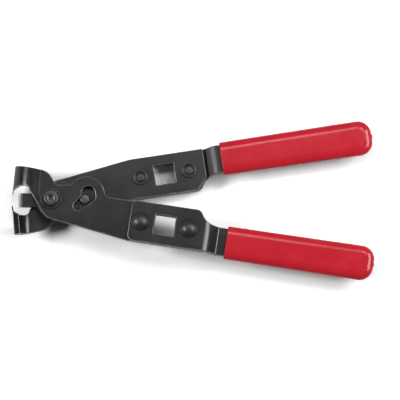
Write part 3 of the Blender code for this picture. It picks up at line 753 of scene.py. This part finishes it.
# The anvil: a hardened steel slide between the plates with a thin tongue, its tip ground to a
# bevel, and the plain cam pin pressed through it, which shows in the slot of the jaw plate.
ANVIL_EDGE = 0.0003
ANVIL_SKIN = {
    "dark": (0.052, 0.053, 0.057),
    "pale": (0.072, 0.073, 0.077),
    "roughness": 0.36,
    "edge_wear_and_highlight_amount": 0.6,
    "patch_scale": 240.0,
    "tint": 0.1,
}
GROUND_FROM = 0.0181  # from the pivot towards the tip
GROUND_TO = 0.0182
GROUND_STEEL = (0.16, 0.158, 0.145)
GROUND_DARKER = 0.7
MILLED_SQUEEZE = (3000, 60, 400)
SHADE_LENGTH = 0.00045
SHADE_TONE = 0.25
PIN_RADIUS = 0.0028
PIN_EDGE = 0.0004
PIN_SKIN = {
    "dark": (0.1, 0.1, 0.103),
    "pale": (0.14, 0.14, 0.142),
    "roughness": 0.38,
    "edge_wear_and_highlight_amount": 0.6,
    "patch_scale": 300.0,
    "tint": 0.05,
}


def grind_tip(finish):
    """The bright face ground across the tip of the tongue, and a soft line of painted shade where it
    starts.
    """
    tree = finish.node_tree
    place = object_place(tree)
    along = split(tree, place)[0]
    start = pivot.x - GROUND_FROM
    socket = tree.nodes["Principled BSDF"].inputs["Base Color"]
    line = remap(tree, along, (start, start + SHADE_LENGTH), (SHADE_TONE, 1.0))
    shaded = mix_colour(tree, line, (0, 0, 0), socket.links[0].from_socket)
    marks = streaks(tree, place, MILLED_SQUEEZE, detail=2.0)
    bright = mix_colour(tree, marks, tuple(GROUND_DARKER * part for part in GROUND_STEEL), GROUND_STEEL)
    ground = remap(tree, along, (start, pivot.x - GROUND_TO))
    tree.links.new(mix_colour(tree, ground, shaded, bright), socket)


anvil = bare_copy("anvil_slide", "anvil_slide_milled", [(pivot, (0, 1, 0))])
anvil_oxide = black_oxide("anvil_oxide", **ANVIL_SKIN)
grind_tip(anvil_oxide)
break_edges(anvil, ANVIL_EDGE, anvil_oxide)
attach(anvil, "anvil")
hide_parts("anvil_slide")

pin_low, pin_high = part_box("cam_pin")
pin_half = (pin_high.z - pin_low.z) / 2
pin_profile = [(0, -pin_half), (PIN_RADIUS, -pin_half), (PIN_RADIUS, pin_half), (0, pin_half)]
pin = turned("cam_pin_turned", pin_profile)
break_edges(pin, PIN_EDGE, black_oxide("pin_oxide", **PIN_SKIN))
set_down(pin, middle("cam_pin"))
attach(pin, "anvil")
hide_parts("cam_pin")


# Two grips of red vinyl dipped on the strips: soft, glossy, fully round along their edges, with a
# rounded lip at the mouth, a blunt end and the small nub where the last drop hung.
GRIP_STEPS = 10
GRIP_CORNER = 0.0088
GRIP_ROUND = 0.006
GRIP_ROUND_SHARE = 0.995
GRIP_EVENNESS = 80
LIP_LENGTH = 0.0004
LIP_SHARES = ((0.6, 0.985, 0.955), (0.4, 0.965, 0.88))  # of the length, width and depth
POCKET_LENGTH = 3 * LIP_LENGTH
POCKET_SLACK = 0.0003
NUB_RADIUS = 0.0014
NUB_LENGTH = 0.0004
NUB_STEPS = 24
NUB_RINGS = 16
VINYL_RED = (0.64, 0.024, 0.04)
VINYL_DEEP = (0.57, 0.018, 0.03)
VINYL_GLOW = (0.13, 0.016, 0.024)  # what the grips throw on the table
VINYL_IOR = 1.45
DIP_SCALE = 60.0
DIP_RANGE = (0.3, 0.7)
SCUFF_SCALE = 240.0
SCUFF_RANGE = (0.45, 0.75)
SCUFF_ROUGHNESS = (0.16, 0.25)
PEEL_SCALE = 900.0
PEEL_HEIGHT = 0.1
SAG_SCALE = 90.0
SAG_DEPTH = 0.0003
SAG_STRENGTH = 0.25


def vinyl():
    """Dipped vinyl: deep glossy red with a slight orange peel, slow sags and fine scuffs."""
    finish, tree, shader = new_finish("red_vinyl_dip")
    place = object_place(tree)
    cloud = remap(tree, noise(tree, place, DIP_SCALE), DIP_RANGE)
    red = mix_colour(tree, cloud, VINYL_DEEP, VINYL_RED)
    thrown = add_node(tree, "LightPath").outputs["Is Diffuse Ray"]
    tree.links.new(mix_colour(tree, thrown, red, VINYL_GLOW), shader.inputs["Base Color"])
    scuffs = noise(tree, place, SCUFF_SCALE, detail=5.0, roughness=0.65)
    tree.links.new(remap(tree, scuffs, SCUFF_RANGE, SCUFF_ROUGHNESS), shader.inputs["Roughness"])
    peel = combine(tree, "MULTIPLY", noise(tree, place, PEEL_SCALE, detail=2.0), PEEL_HEIGHT)
    height = combine(tree, "ADD", peel, noise(tree, place, SAG_SCALE, detail=1.0))
    skin = add_node(tree, "Bump", {"Strength": SAG_STRENGTH, "Distance": SAG_DEPTH, "Height": height})
    tree.links.new(skin.outputs[0], shader.inputs["Normal"])
    shader.inputs["IOR"].default_value = VINYL_IOR
    return finish


def arm_frame(side):
    """The frame of an arm: X along it from the pivot, Z up out of the half's outer face."""
    turn = math.pi if side == "rear" else 0
    return Matrix.Translation(pivot) @ Matrix.Rotation(turn, 4, "X") @ Matrix.Rotation(-arm_angle, 4, "Z")


def arm_points(side, node):
    """The points of a CAD node in its arm's frame."""
    back = arm_frame(side).inverted()
    return [back @ vertex.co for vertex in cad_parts[f"{side}_{node}"].data.vertices]


def half_width(points):
    return (max(point.y for point in points) - min(point.y for point in points)) / 2


def pick(piece, kind, test):
    """Selects the edges or faces of a piece that pass a test, and goes into edit mode."""
    bpy.ops.object.mode_set(mode="EDIT")
    bpy.ops.mesh.select_mode(type=kind)
    bpy.ops.mesh.select_all(action="DESELECT")
    bpy.ops.object.mode_set(mode="OBJECT")
    corners = piece.data.vertices
    for part in piece.data.edges if kind == "EDGE" else piece.data.polygons:
        part.select = test([corners[index].co for index in part.vertices])
    bpy.ops.object.mode_set(mode="EDIT")


def level(points):
    return abs(points[0].z - points[1].z) < SEAM


def soft_slab(name, mouth, tip, centre, near_half, far_half):
    """A tapered slab from mouth to tip, its corners at the tip and then its rim rounded."""
    half_length = (tip - mouth) / 2
    size = (half_length, near_half, GRIP_ROUND)
    bpy.ops.object.select_all(action="DESELECT")
    bpy.ops.mesh.primitive_cube_add(size=2, location=(mouth + half_length, centre, 0), scale=size)
    slab = bpy.context.object
    slab.name = name
    bpy.ops.object.transform_apply(location=True, rotation=True, scale=True)
    pick(slab, "FACE", lambda points: min(point.x for point in points) > tip - SEAM)
    bpy.ops.transform.resize(value=(1, far_half / near_half, 1), center_override=(0, centre, 0))
    pick(slab, "EDGE", lambda points: min(point.x for point in points) > tip - SEAM and not level(points))
    bpy.ops.mesh.bevel(offset=GRIP_CORNER, segments=GRIP_STEPS, profile=0.5, clamp_overlap=False)
    pick(slab, "EDGE", lambda points: max(point.x for point in points) > mouth + SEAM and level(points))
    rim_round = GRIP_ROUND * GRIP_ROUND_SHARE
    bpy.ops.mesh.bevel(offset=rim_round, segments=GRIP_STEPS, profile=0.5, clamp_overlap=False)
    bpy.ops.mesh.select_all(action="SELECT")
    bpy.ops.mesh.remove_doubles(threshold=SEAM)
    return slab


def next_ring(centre, step, width, depth):
    """Draws the selected end out along X by a step, then scales it about the grip's middle line."""
    bpy.ops.mesh.extrude_region_move(TRANSFORM_OT_translate={"value": (step, 0, 0)})
    bpy.ops.transform.resize(value=(1, width, depth), center_override=(0, centre, 0))


def hang_drop(grip, place):
    """Joins the nub of the last drop to the end of a grip."""
    bpy.ops.object.select_all(action="DESELECT")
    bpy.ops.mesh.primitive_uv_sphere_add(segments=NUB_STEPS, ring_count=NUB_RINGS, location=place)
    nub = bpy.context.object
    nub.scale = (NUB_LENGTH, NUB_RADIUS, NUB_RADIUS)
    bpy.ops.object.transform_apply(location=True, rotation=True, scale=True)
    drop = grip.modifiers.new("drop", "BOOLEAN")
    drop.operation = "UNION"
    drop.object = nub
    apply_modifiers(grip)
    bpy.data.objects.remove(nub)


def dipped_grip(side):
    """A grip over its strip: the soft slab, then the lip, the pocket for the strip, and the nub."""
    points = arm_points(side, "grip")
    front = min(point.x for point in points)
    end = max(point.x for point in points)
    deep = max(point.z for point in points)
    near = [point for point in points if point.x < front + 2 * LIP_LENGTH]
    far = [point for point in points if point.x > (front + end) / 2]
    centre = (max(point.y for point in far) + min(point.y for point in far)) / 2
    mouth, tip = front + LIP_LENGTH, end - NUB_LENGTH
    mouth_half, mouth_deep = half_width(near), deep
    grip = soft_slab(f"{side}_grip_dipped", mouth, tip, centre, mouth_half, half_width(far))
    bpy.ops.transform.resize(value=(1, 1, deep / GRIP_ROUND), center_override=(0, centre, 0))
    pick(grip, "FACE", lambda points: max(point.x for point in points) < mouth + SEAM)
    for step, width, depth in LIP_SHARES:
        next_ring(centre, -LIP_LENGTH * step, width, depth)
        mouth_half, mouth_deep = mouth_half * width, mouth_deep * depth
    held = [point for point in arm_points(side, "handle_bar") if point.x > front]
    strip_half = half_width(held) + POCKET_SLACK
    strip_deep = max(point.z for point in held) + POCKET_SLACK
    next_ring(centre, 0, strip_half / mouth_half, strip_deep / mouth_deep)
    next_ring(centre, POCKET_LENGTH, 1, 1)
    bpy.ops.mesh.select_all(action="SELECT")
    bpy.ops.mesh.normals_make_consistent(inside=False)
    bpy.ops.object.mode_set(mode="OBJECT")
    hang_drop(grip, (tip, centre, 0))
    grip.data.shade_smooth()
    even = grip.modifiers.new("even", "WEIGHTED_NORMAL")
    even.weight = GRIP_EVENNESS
    grip.data.transform(arm_frame(side))
    apply_modifiers(grip)
    return grip


vinyl_dip = vinyl()
for side in ("front", "rear"):
    grip = dipped_grip(side)
    grip.data.materials.clear()
    grip.data.materials.append(vinyl_dip)
    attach(grip, f"{side}_half")
    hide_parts(f"{side}_grip")


bpy.context.view_layer.update()
